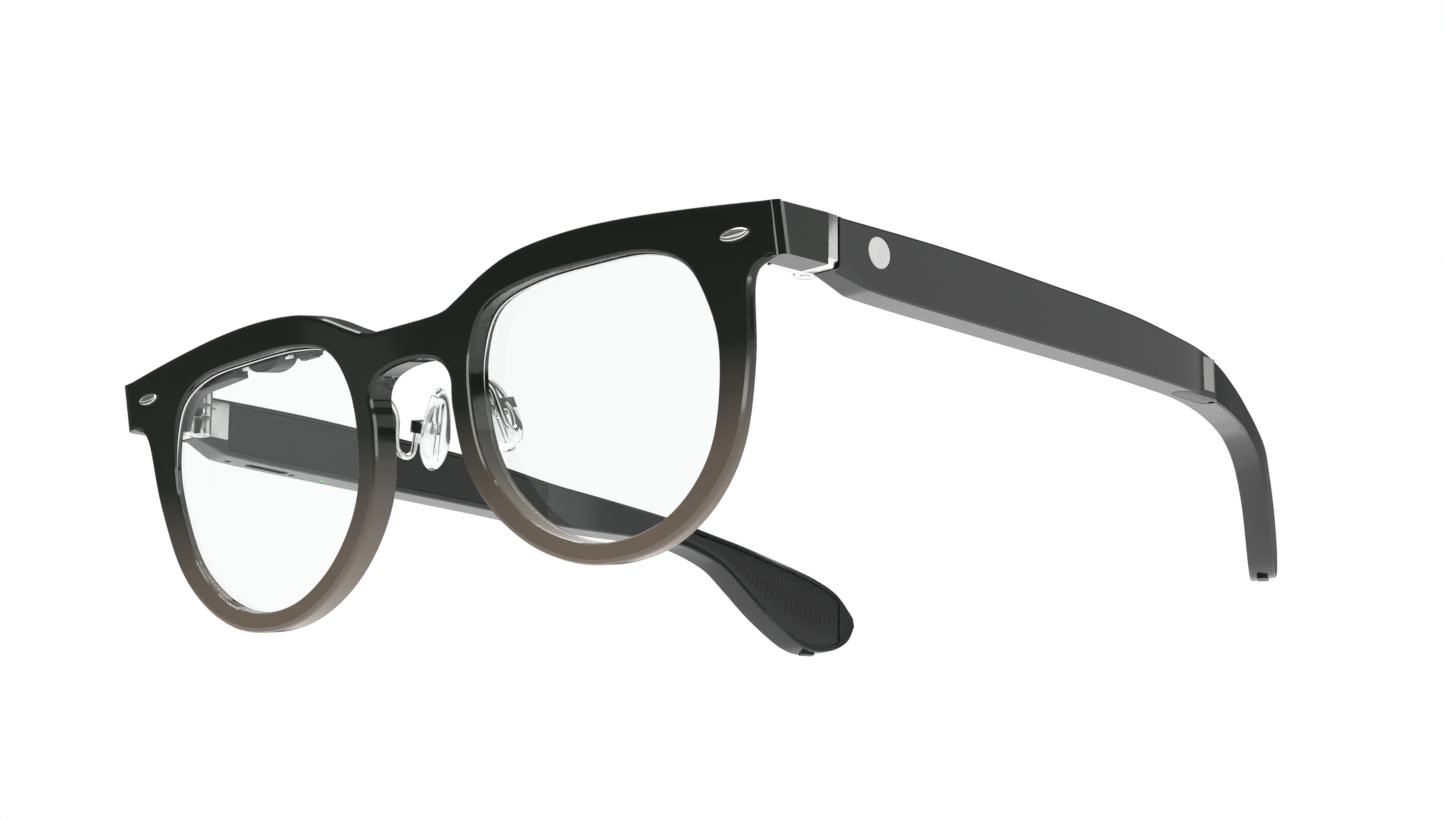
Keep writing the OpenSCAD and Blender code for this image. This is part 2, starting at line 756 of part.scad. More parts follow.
module battery(side) {
    color([0.75, 0.77, 0.8]) on_side(side) temple_frame()
        box(cavity_out - 0.1 - battery_t, cavity_out - 0.1, battery_v, battery_v + battery_l,
            cell_low, battery_top);
}
battery_top = edge_at(temple_top, battery_v + battery_l) - cover_rim - ledge - 0.1;
cell_low = -temple_down + 2.9;
cell_top = temple_up - 2.6;

module circuit_board(side) {
    color([0.1, 0.35, 0.2]) on_side(side) temple_frame() {
        box(cavity_out - 1.1, cavity_out - 0.3, board_v, board_v + board_l, cell_low, cell_top);
        for (v = [1.5, 8.5, 14.5]) {
            box(cavity_out - 2, cavity_out - 1.1, board_v + v, board_v + v + 5,
                cell_low + 1, cell_top - 0.8);
        }
    }
}

module speaker(side) {
    color([0.3, 0.3, 0.32]) on_side(side) temple_frame() {
        box(cavity_out - 2.6, cavity_out - 0.1, speaker_v, speaker_v + speaker_l, cell_low, cell_top);
        translate([cavity_out - 2.6, speaker_v + speaker_l / 2, (cell_low + cell_top) / 2])
            rotate([0, -90, 0]) cylinder(r = 2.2, h = 0.3);
    }
}

// The right speaker sounds through a grille under the temple, the left one through its inner cover
module speaker_grille(side) {
    color([0.06, 0.06, 0.06]) on_side(side) temple_frame() if (side == RIGHT) difference() {
        slot_cut(grille_v, grille_d, grille_l, grille_w, low_edge(grille_v) + 0.35,
            low_edge(grille_v) + wall);
        for (k = [-3 : 3]) translate([side_in + grille_d, grille_v + k * grille_pitch, -20])
            cylinder(r = 0.35, h = 40, $fn = 16);
    } else difference() {
        ear_slot(0, 0.3, cover_t - seat_gap);
        for (k = [-3 : 3]) translate([side_in - 5, speaker_v + speaker_l / 2 + k * grille_pitch, 0])
            rotate([0, 90, 0]) cylinder(r = 0.35, h = 10, $fn = 16);
    }
}

// Steel core that stiffens the curved tip
module tip_core_room(gap) {
    intersection() {
        from_side(0, half_front) polygon([
            [core_v0 - gap, core_mid(core_v0) - 0.6 - gap], [core_v0 - gap, core_mid(core_v0) + 0.6 + gap],
            [core_v1 + gap, core_mid(core_v1) + 0.6 + gap], [core_v1 + gap, core_mid(core_v1) - 0.6 - gap]
        ]);
        inner_slab(core_d - gap, core_d + 1.2 + gap);
    }
}
core_d = temple_t / 2;
core_v1 = temple_len - 24;
function core_mid(v) = (edge_at(temple_top, v) + lookup(v, straight_low)) / 2;

module tip_core(side) {
    color([0.7, 0.7, 0.7]) on_side(side) temple_frame() tip_core_room(0);
}

module tip_grip(side) {
    color([0.1, 0.1, 0.1]) on_side(side) temple_frame() intersection() {
        from_side(0, half_front) polygon(grip_outline(grip_rim + seat_gap));
        inner_slab(0, grip_t);
    }
}

// Small tab under the tip
module tab_box(gap) {
    v = temple_len - 6.5;
    translate([side_in - tip_shift(v) + temple_t / 2, v, -tip_drop]) rotate([0, 0, 30])
        box(-0.9 - gap, 0.9 + gap, -1.3 - gap, 1.3 + gap, -tab_drop, 0.9 + gap);
}

module tip_tab(side) {
    color([0.07, 0.07, 0.07]) on_side(side) temple_frame() tab_box(0);
}

// ---- Wearer's right temple: microphones, status light and control key ----

mic_d = temple_t - 1.9;
light_r = 0.55;
key_z = temple_up - 1.1;
key_w = 2.4;

module right_temple_cuts() {
    slot_cut(grille_v, grille_d, grille_l + 2 * seat_gap, grille_w + 2 * seat_gap, -30,
        low_edge(grille_v) + wall + 0.3);
    for (v = mic_v) translate([side_in + mic_d, v, -20]) cylinder(r = 0.5 + seat_gap, h = 20, $fn = 24);
    translate([side_in + mic_d, light_v, -20]) cylinder(r = light_r + seat_gap, h = 20, $fn = 24);
    slot_cut(key_v, temple_t / 2 + 0.5, key_l + 0.2, key_w + 0.2, key_z - key_travel - 0.25, 30);
    slot_cut(key_v, temple_t / 2 + 0.5, 2.4, 1.4, 0, 30);
}

module microphones() {
    color([0.05, 0.05, 0.05]) on_side(RIGHT) temple_frame() for (v = mic_v)
        translate([side_in + mic_d, v, low_edge(v) + 0.25]) cylinder(r = 0.5, h = wall - 0.3, $fn = 24);
}

module status_light() {
    color([0.2, 0.8, 0.35]) on_side(RIGHT) temple_frame()
        translate([side_in + mic_d, light_v, low_edge(light_v) + 0.05])
            cylinder(r = light_r, h = wall, $fn = 24);
}

module control_key() {
    color([0.12, 0.12, 0.12]) on_side(RIGHT) temple_frame() {
        slot_cut(key_v, temple_t / 2 + 0.5, key_l, key_w, key_z, edge_at(temple_top, key_v) + 0.3);
        slot_cut(key_v, temple_t / 2 + 0.5, 2.1, 1.1, key_z - 0.4, key_z + cut);
    }
}

module key_switch() {
    color([0.8, 0.8, 0.8]) on_side(RIGHT) temple_frame()
        slot_cut(key_v, temple_t / 2 + 0.5, 2.2, 1.2, cell_top + 0.1, key_z - 0.4 - key_travel - 0.05);
}

// ---- Wearer's left temple: charging socket and its plug ----

module port_cuts() {
    x = socket_d;
    slot_cut(socket_v, x, socket_w + 2 * seat_gap, socket_h + 2 * seat_gap, -30, socket_top + seat_gap);
    slot_cut(socket_v, x, socket_w + 0.9, socket_h + 0.3, -30, low_edge(socket_v) + plug_t);
}
socket_top = temple_up - 3.2;

module charging_socket() {
    z0 = low_edge(socket_v) + plug_t + 0.1;
    color([0.7, 0.7, 0.7]) on_side(LEFT) temple_frame() {
        difference() {
            slot_cut(socket_v, socket_d, socket_w, socket_h, z0, socket_top);
            slot_cut(socket_v, socket_d, socket_w - 0.6, socket_h - 0.6, z0 - 1, socket_top - 0.6);
        }
        translate([side_in + socket_d, socket_v, 0])
            box(-0.35, 0.35, -3.3, 3.3, z0 + 0.8, socket_top - 0.3);
    }
}

module port_plug() {
    z0 = low_edge(socket_v);
    stem_top = z0 + plug_t + 2.4;
    color([0.25, 0.26, 0.25]) on_side(LEFT) temple_frame() difference() {
        union() {
            slot_cut(socket_v, socket_d, socket_w + 0.7, socket_h + 0.1, z0, z0 + plug_t);
            slot_cut(socket_v, socket_d, socket_w - 0.9, socket_h - 0.9, z0 + plug_t - cut, stem_top);
        }
        translate([side_in + socket_d, socket_v, 0])
            box(-0.5, 0.5, -3.5, 3.5, z0 + plug_t + 0.5, stem_top + 1);
        translate([side_in + socket_d, socket_v + socket_w / 2, z0]) sphere(r = 0.6, $fn = 24);
    }
}

at_rest() front_frame();
at_rest() on_side(RIGHT) lens();  // lens_right
at_rest() on_side(LEFT) lens();  // lens_left
at_rest() rivets();
at_rest() on_side(RIGHT) hinge_plate();  // hinge_plate_right
at_rest() on_side(LEFT) hinge_plate();  // hinge_plate_left
at_rest() on_side(RIGHT) hinge_pin();  // hinge_pin_right
at_rest() on_side(LEFT) hinge_pin();  // hinge_pin_left
at_rest() on_side(RIGHT) pad_arm();  // pad_arm_right
at_rest() on_side(LEFT) pad_arm();  // pad_arm_left
at_rest() on_side(RIGHT) pad_box();  // pad_box_right
at_rest() on_side(LEFT) pad_box();  // pad_box_left
at_rest() on_side(RIGHT) pad_screw();  // pad_screw_right
at_rest() on_side(LEFT) pad_screw();  // pad_screw_left
at_rest() on_side(RIGHT) nose_pad();  // nose_pad_right
at_rest() on_side(LEFT) nose_pad();  // nose_pad_left
at_rest() display_housing();
at_rest() display_rail();
at_rest() display_carriage();
at_rest() display_optic();
at_rest() display_dial();
at_rest() temple_shell(RIGHT);  // temple_shell_right
at_rest() temple_shell(LEFT);  // temple_shell_left
at_rest() temple_cover(RIGHT);  // temple_cover_right
at_rest() temple_cover(LEFT);  // temple_cover_left
at_rest() on_side(RIGHT) temple_knuckle();  // temple_knuckle_right
at_rest() on_side(LEFT) temple_knuckle();  // temple_knuckle_left
at_rest() emblem(RIGHT);  // emblem_right
at_rest() emblem(LEFT);  // emblem_left
at_rest() battery(RIGHT);  // battery_right
at_rest() battery(LEFT);  // battery_left
at_rest() circuit_board(RIGHT);  // circuit_board_right
at_rest() circuit_board(LEFT);  // circuit_board_left
at_rest() speaker(RIGHT);  // speaker_right
at_rest() speaker(LEFT);  // speaker_left
at_rest() speaker_grille(RIGHT);  // speaker_grille_right
at_rest() speaker_grille(LEFT);  // speaker_grille_left
at_rest() tip_core(RIGHT);  // tip_core_right
at_rest() tip_core(LEFT);  // tip_core_left
at_rest() tip_grip(RIGHT);  // tip_grip_right
at_rest() tip_grip(LEFT);  // tip_grip_left
at_rest() tip_tab(RIGHT);  // tip_tab_right
at_rest() tip_tab(LEFT);  // tip_tab_left
at_rest() microphones();
at_rest() status_light();
at_rest() control_key();
at_rest() key_switch();
at_rest() charging_socket();
at_rest() port_plug();
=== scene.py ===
import json
import math

import bmesh
import bpy
import numpy as np
from mathutils import Matrix, Vector
from mathutils.geometry import delaunay_2d_cdt


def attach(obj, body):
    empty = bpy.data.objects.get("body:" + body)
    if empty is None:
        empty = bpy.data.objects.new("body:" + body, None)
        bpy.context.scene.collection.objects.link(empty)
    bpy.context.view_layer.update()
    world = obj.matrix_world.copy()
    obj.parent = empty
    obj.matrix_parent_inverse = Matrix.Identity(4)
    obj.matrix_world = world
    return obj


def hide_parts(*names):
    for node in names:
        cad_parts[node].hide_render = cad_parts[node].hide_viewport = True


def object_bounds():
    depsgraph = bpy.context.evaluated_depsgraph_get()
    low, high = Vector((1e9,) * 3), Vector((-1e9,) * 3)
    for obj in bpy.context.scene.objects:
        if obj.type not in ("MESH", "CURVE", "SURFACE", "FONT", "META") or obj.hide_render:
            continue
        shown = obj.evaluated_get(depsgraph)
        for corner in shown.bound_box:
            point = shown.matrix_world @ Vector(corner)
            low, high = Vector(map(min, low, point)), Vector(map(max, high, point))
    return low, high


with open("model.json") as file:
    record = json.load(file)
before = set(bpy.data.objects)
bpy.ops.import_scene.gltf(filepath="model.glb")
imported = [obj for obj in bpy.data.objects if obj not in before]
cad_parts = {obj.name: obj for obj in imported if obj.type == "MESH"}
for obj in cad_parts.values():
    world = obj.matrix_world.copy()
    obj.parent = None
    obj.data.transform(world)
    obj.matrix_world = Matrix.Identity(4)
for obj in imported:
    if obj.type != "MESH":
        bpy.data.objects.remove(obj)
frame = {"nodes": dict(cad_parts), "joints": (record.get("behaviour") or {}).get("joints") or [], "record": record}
cad_low, cad_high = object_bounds()
JOINTS = {j["name"]: j for j in frame["joints"]}
MM = 0.001
SIDES = {"left": 1, "right": -1}

# ---- Sizes in millimetres, as in the part's source ----
LENS_W, LENS_H, BRIDGE_W = 48.8, 40.7, 26.2
FRAME_T, FACE_DROP = 4.9, 4.11
BROW_H, BRIDGE_H, RIM_BOTTOM, RIM_SIDE, RIM_NOSE, END_W = 5.5, 5.9, 3.2, 5.8, 4.4, 13.5
TEMPLE_LEN, TEMPLE_T, TEMPLE_UP, TEMPLE_DOWN = 140.4, 5.2, 4.2, 6.1
TIP_DROP, TIP_IN, PANTO = 25.1, 24, 10.5
HINGE_Y, HINGE_UP, HINGE_GAP, STRIP_W = 16, 17.15, 0.2, 2.2
# The last size is the radius of the painted highlight bead along the top of each lens
LENS_LIP, LENS_T, HIGHLIGHT_R = 0.45, 1.1, 0.16
PAD_H, PAD_W, PAD_X, PAD_Y, PAD_UP, PAD_BACK, ARM_R = 13, 7.6, 9.2, 10.9, 4.4, 1.35, 0.5
LENS_CX = (BRIDGE_W + LENS_W) / 2
LENS_TOP = LENS_H / 2
HALF = BRIDGE_W / 2 + LENS_W + END_W
WRAP_R = (HALF ** 2 + FACE_DROP ** 2) / (2 * FACE_DROP)
SIDE_IN = HALF - TEMPLE_T
END_TOP, END_LOW = TEMPLE_UP - 0.75, -TEMPLE_DOWN + 1.9
NOSE_X = BRIDGE_W / 2 - RIM_NOSE

# ---- Frames ----
PIN = Vector(JOINTS["fold_left"]["pos_m"])
UP = Vector(JOINTS["fold_left"]["axis"]).normalized()
ALONG = UP.cross(Vector((1, 0, 0)))


def axes_matrix(origin, x, y, z):
    m = Matrix((x, y, z)).transposed().to_4x4()
    m.translation = origin
    return m


# Temple frame: X across, Y back along the temple from the hinge pin, Z square to it
M_TEMPLE = axes_matrix(Vector((0, PIN.y, PIN.z)), Vector((1, 0, 0)), ALONG, UP)
# Front's own frame: Y straight back from the front face of the bridge
M_FRONT = M_TEMPLE @ Matrix.Rotation(math.radians(PANTO), 4, "X") @ Matrix.Translation(
    Vector((0, -HINGE_Y, -HINGE_UP)) * MM)
PAD_TURN = Matrix.Rotation(math.radians(-18), 4, "Y") @ Matrix.Rotation(math.radians(-14), 4, "Z")
M_PAD = M_FRONT @ Matrix.Translation(Vector((PAD_X, PAD_Y, PAD_UP)) * MM) @ PAD_TURN


# ---- Curves ----
def smooth(a, b, c, d, t):
    return 0.5 * (2 * b + t * (c - a) + t * t * (2 * a - 5 * b + 4 * c - d)
                  + t ** 3 * (3 * b - 3 * c + d - a))


def closed_curve(p, steps):
    p, n = np.array(p, float), len(p)
    return np.array([smooth(p[i - 1], p[i], p[(i + 1) % n], p[(i + 2) % n], j / steps)
                     for i in range(n) for j in range(steps)])


def open_curve(p, steps):
    p, n = np.array(p, float), len(p)
    return np.array([smooth(p[max(i - 1, 0)], p[i], p[i + 1], p[min(i + 2, n - 1)], j / steps)
                     for i in range(n - 1) for j in range(steps)] + [p[-1]])


def normals(p):
    """Outward directions of an anticlockwise closed outline."""
    d = np.roll(p, -1, 0) - np.roll(p, 1, 0)
    d = d / np.linalg.norm(d, axis=1)[:, None]
    return np.stack([d[:, 1], -d[:, 0]], 1)


def grown(p, by):
    return p + normals(p) * by


# ---- Making meshes ----
def add_object(name, verts, faces, matrix=None, mat=None, side=1, sharp=20.0):
    """A mesh object from points in millimetres; side -1 mirrors it to the wearer's right."""
    pts = [Vector((v[0] * side, v[1], v[2])) * MM for v in verts]
    if matrix is not None:
        pts = [matrix @ p for p in pts]
    if mat:
        pts = [Vector(min(max(c, l), h) for c, l, h in zip(p, cad_low, cad_high)) for p in pts]
    me = bpy.data.meshes.new(name)
    me.from_pydata(pts, [], [f[::-1] if side < 0 else f for f in faces])
    bm = bmesh.new()
    bm.from_mesh(me)
    bmesh.ops.remove_doubles(bm, verts=bm.verts, dist=1e-6)
    bmesh.ops.recalc_face_normals(bm, faces=bm.faces)
    bm.to_mesh(me)
    bm.free()
    me.shade_smooth()
    me.set_sharp_from_angle(angle=math.radians(sharp))
    ob = bpy.data.objects.new(name, me)
    bpy.context.scene.collection.objects.link(ob)
    if mat:
        me.materials.append(mat)
    return ob


def ring_faces(n, a, b):
    """Quads between two closed rings of n points that start at a and b."""
    return [(a + i, a + (i + 1) % n, b + (i + 1) % n, b + i) for i in range(n)]


def loft(rings, cap=True):
    n = len(rings[0])
    verts = [tuple(p) for r in rings for p in r]
    faces = [f for k in range(len(rings) - 1) for f in ring_faces(n, k * n, (k + 1) * n)]
    if cap:
        faces.append(tuple(range(n - 1, -1, -1)))
        faces.append(tuple(range((len(rings) - 1) * n, len(rings) * n)))
    return verts, faces


def inside(p, poly):
    x, y = p
    a, b = poly, np.roll(poly, -1, 0)
    hit = ((a[:, 1] > y) != (b[:, 1] > y)) & (
        x < (b[:, 0] - a[:, 0]) * (y - a[:, 1]) / (b[:, 1] - a[:, 1] + 1e-12) + a[:, 0])
    return hit.sum() % 2 == 1


def combine(ob, solids, operation="DIFFERENCE", sharp=20.0):
    """Cuts other solids out of a piece, or joins them to it, and removes them."""
    bpy.context.view_layer.update()
    for c in solids:
        m = ob.modifiers.new("combine", "BOOLEAN")
        m.operation, m.object, m.solver = operation, c, "MANIFOLD"
    me = bpy.data.meshes.new_from_object(ob.evaluated_get(bpy.context.evaluated_depsgraph_get()))
    # The piece keeps its own material all over
    mats = list(ob.data.materials)
    me.materials.clear()
    for mat in mats:
        me.materials.append(mat)
    me.polygons.foreach_set("material_index", [0] * len(me.polygons))
    ob.modifiers.clear()
    ob.data = me
    for c in solids:
        bpy.data.objects.remove(c)
    me.set_sharp_from_angle(angle=math.radians(sharp))


def fill(outer, holes):
    """Triangles of the flat region inside outer and outside the holes: points and faces."""
    pts, edges = [], []
    for poly in [outer] + holes:
        k = len(pts)
        pts += [Vector(p) for p in poly]
        edges += [(k + i, k + (i + 1) % len(poly)) for i in range(len(poly))]
    v, _, f, _, _, _ = delaunay_2d_cdt(pts, edges, [], 0, 1e-7)
    keep = []
    for t in f:
        c = sum((np.array(v[i]) for i in t), np.zeros(2)) / len(t)
        if inside(c, outer) and not any(inside(c, h) for h in holes):
            keep.append(tuple(t))
    return [np.array(p) for p in v], keep


# ---- Materials ----
def srgb(r, g, b):
    return tuple(((c / 255 / 12.92) if c <= 10 else ((c / 255 + 0.055) / 1.055) ** 2.4) for c in (r, g, b))


class Mat:
    """A Principled material with noise in its colour, gloss and surface."""

    def __init__(self, name, color, rough, metallic=0.0, vary=0.06, grain=400.0, bump=0.02,
                 bump_scale=900.0, rough_vary=0.04, **sockets):
        self.mat = bpy.data.materials.new(name)
        self.mat.use_nodes = True
        self.tree = self.mat.node_tree
        self.shader = self.tree.nodes["Principled BSDF"]
        self.coord = self.node("ShaderNodeTexCoord").outputs["Object"]
        self.shader.inputs["Metallic"].default_value = metallic
        for key, value in sockets.items():
            self.shader.inputs[key.replace("_", " ")].default_value = value
        noise = self.noise(grain)
        dark = tuple(c * (1 - vary) for c in color)
        light = tuple(min(1, c * (1 + vary)) for c in color)
        self.color = self.ramp(noise, [(0.3, dark), (0.7, light)])
        self.link(self.color, self.shader.inputs["Base Color"])
        r = self.node("ShaderNodeMapRange")
        r.inputs["To Min"].default_value = max(0.0, rough - rough_vary)
        r.inputs["To Max"].default_value = rough + rough_vary
        self.link(noise, r.inputs["Value"])
        self.link(r.outputs["Result"], self.shader.inputs["Roughness"])
        if bump:
            self.bump(self.noise(bump_scale), bump)

    def node(self, kind):
        return self.tree.nodes.new(kind)

    def link(self, a, b):
        self.tree.links.new(a, b)

    def noise(self, scale, detail=4.0):
        n = self.node("ShaderNodeTexNoise")
        n.inputs["Scale"].default_value = scale
        n.inputs["Detail"].default_value = detail
        self.link(self.coord, n.inputs["Vector"])
        return n.outputs["Fac"]

    def ramp(self, value, stops):
        n = self.node("ShaderNodeValToRGB")
        while len(n.color_ramp.elements) < len(stops):
            n.color_ramp.elements.new(0.5)
        for e, (at, c) in zip(n.color_ramp.elements, stops):
            e.position = at
            e.color = (*c, 1) if len(c) == 3 else c
        self.link(value, n.inputs["Fac"])
        return n.outputs["Color"]

    def bump(self, height, strength, distance=0.0001):
        n = self.node("ShaderNodeBump")
        n.inputs["Strength"].default_value = strength
        n.inputs["Distance"].default_value = distance
        self.link(height, n.inputs["Height"])
        self.link(n.outputs["Normal"], self.shader.inputs["Normal"])


def acetate():
    """Polished acetate: near black at the brow, clearing to smoky brown at the bottom of the rims."""
    m = Mat("front_acetate", (0.1, 0.1, 0.1), 0.07, bump=0.015, bump_scale=60.0, rough_vary=0.03, IOR=1.5)
    sep = m.node("ShaderNodeSeparateXYZ")
    m.link(m.coord, sep.inputs["Vector"])
    z = m.node("ShaderNodeMapRange")
    z.inputs["From Min"].default_value = 0.0
    z.inputs["From Max"].default_value = 0.05
    m.link(sep.outputs["Z"], z.inputs["Value"])
    wave = m.node("ShaderNodeMath")
    wave.operation = "MULTIPLY_ADD"
    m.link(m.noise(55.0, 5.0), wave.inputs[0])
    wave.inputs[1].default_value = 0.10
    wave.inputs[2].default_value = -0.05
    total = m.node("ShaderNodeMath")
    m.link(z.outputs["Result"], total.inputs[0])
    m.link(wave.outputs["Value"], total.inputs[1])
    color = m.ramp(total.outputs["Value"], [
        (0.05, srgb(112, 99, 86)), (0.25, srgb(98, 88, 77)), (0.4, srgb(70, 67, 60)),
        (0.55, srgb(27, 33, 27)), (1.0, srgb(17, 23, 18))])
    m.link(color, m.shader.inputs["Base Color"])
    return m.mat


MATS = {
    "front_acetate": acetate(),
    "lens": Mat("lens", (0.97, 0.99, 0.98), 0.0, vary=0.003, bump=0, rough_vary=0.0,
                Transmission_Weight=1.0, IOR=1.38).mat,
    "bright_steel": Mat("bright_steel", srgb(222, 222, 220), 0.2, 1.0, bump=0.05, bump_scale=1500).mat,
    "fine_steel": Mat("fine_steel", srgb(215, 215, 213), 0.14, 1.0, bump=0.02).mat,
    "clear_silicone": Mat("clear_silicone", (0.96, 0.98, 0.98), 0.06, vary=0.01, bump=0.02,
                          bump_scale=300, rough_vary=0.02, Transmission_Weight=0.95, IOR=1.4).mat,
    "display_plastic": Mat("display_plastic", srgb(24, 27, 25), 0.3, vary=0.1).mat,
    "eyepiece": Mat("eyepiece", (0.3, 0.42, 0.46), 0.03, vary=0.05, bump=0,
                    Transmission_Weight=0.6, Coat_Weight=1.0).mat,
    "dial_plastic": Mat("dial_plastic", srgb(40, 42, 40), 0.35, vary=0.1).mat,
    "temple_plastic": Mat("temple_plastic", srgb(30, 34, 31), 0.16, vary=0.05, bump=0.02,
                          bump_scale=500, Coat_Weight=0.25, Coat_Roughness=0.08).mat,
    "cover_plastic": Mat("cover_plastic", srgb(34, 38, 35), 0.3, vary=0.05, bump=0.04,
                         bump_scale=1800, Specular_IOR_Level=0.3).mat,
    "emblem_metal": Mat("emblem_metal", srgb(225, 226, 224), 0.45, 0.1).mat,
    "battery_pouch": Mat("battery_pouch", srgb(190, 192, 196), 0.35, 0.8, bump=0.2).mat,
    "board": Mat("board", srgb(18, 70, 40), 0.4, vary=0.2, grain=1500).mat,
    "speaker_body": Mat("speaker_body", srgb(60, 60, 64), 0.4).mat,
    "black_mesh": Mat("black_mesh", srgb(14, 14, 14), 0.6, vary=0.3, bump=0.3, bump_scale=3000).mat,
    "core_steel": Mat("core_steel", srgb(160, 160, 160), 0.3, 1.0).mat,
    "grip_rubber": Mat("grip_rubber", srgb(26, 28, 27), 0.42, vary=0.12, bump=0.06, bump_scale=2500).mat,
    "tab_plastic": Mat("tab_plastic", srgb(18, 18, 18), 0.4, vary=0.15).mat,
    "light_green": Mat("light_green", srgb(70, 210, 110), 0.2, Emission_Strength=0.5,
                       Emission_Color=(0.1, 0.8, 0.25, 1)).mat,
    "key_plastic": Mat("key_plastic", srgb(44, 46, 45), 0.3, vary=0.08).mat,
    "socket_steel": Mat("socket_steel", srgb(170, 170, 168), 0.3, 1.0).mat,
    # Near black for the ring round each rivet: painted shade of the gap round its seat
    "painted_shade_dark": Mat("painted_shade_dark", srgb(8, 8, 8), 0.7, vary=0.2).mat,
}
for sub in frame["record"]["subparts"]:
    node = frame["nodes"][sub["node"]]
    node.data.materials.clear()
    node.data.materials.append(MATS[sub["material_slot"]])


def finish_piece(ob, body, slot, *nodes):
    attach(ob, body)
    if nodes:
        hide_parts(*nodes)


# ---- Front ----
LENS_SHAPE = [
    [0.99, 0.1], [0.97, 0.45], [0.84, 0.8], [0.55, 0.965], [0.1, 1], [-0.4, 0.99],
    [-0.78, 0.88], [-0.955, 0.58], [-0.995, 0.2], [-0.955, -0.17], [-0.82, -0.48],
    [-0.57, -0.765], [-0.25, -0.95], [0.08, -1], [0.42, -0.925], [0.7, -0.71], [0.89, -0.39]]
LENS_POINTS = np.array([[LENS_CX + s[0] * LENS_W / 2, s[1] * LENS_H / 2] for s in LENS_SHAPE])
LENS_OUTLINE = closed_curve(LENS_POINTS, 10)
CORNER_TOP, CORNER_LOW = LENS_TOP + 2.1, LENS_TOP - 5.6
BRIDGE_TOP = LENS_TOP - 1.5
BRIDGE_LOW = BRIDGE_TOP - BRIDGE_H


def face_y(x):
    return x * x / WRAP_R / 2


def front_outline():
    rim = []
    out = normals(LENS_POINTS)
    for k in range(17, 7, -1):
        i = k % 17
        s = LENS_SHAPE[i]
        width = RIM_BOTTOM + ((RIM_SIDE if s[0] > 0 else RIM_NOSE) - RIM_BOTTOM) * min(1, max(0, 1 + s[1]))
        rim.append(list(LENS_POINTS[i] + width * out[i]))
    top = open_curve([
        [0, BRIDGE_TOP], [NOSE_X - 0.6, BRIDGE_TOP + 0.2], [NOSE_X + 3.8, BRIDGE_TOP + 1.7],
        [NOSE_X + 9.6, LENS_TOP + BROW_H - 2.7], [LENS_CX - 12.5, LENS_TOP + BROW_H - 0.8],
        [LENS_CX - 2.5, LENS_TOP + BROW_H], [LENS_CX + 9, LENS_TOP + BROW_H - 0.3],
        [LENS_CX + 23, LENS_TOP + BROW_H - 1.6], [HALF, CORNER_TOP]], 8)
    low = open_curve([[HALF, CORNER_LOW], [HALF - 3.4, CORNER_LOW - 0.5], [HALF - 6.3, CORNER_LOW - 2.9]]
                     + rim + [[NOSE_X + 0.3, BRIDGE_LOW - 4], [NOSE_X - 1.6, BRIDGE_LOW - 1.4],
                              [NOSE_X - 5, BRIDGE_LOW - 0.3], [0, BRIDGE_LOW]], 8)
    side = np.linspace(low[0], top[-1], 8)[1:-1]
    half = np.concatenate([low[::-1], side, top[::-1]])
    other = half[1:-1][::-1] * [-1, 1]
    return np.concatenate([half, other])


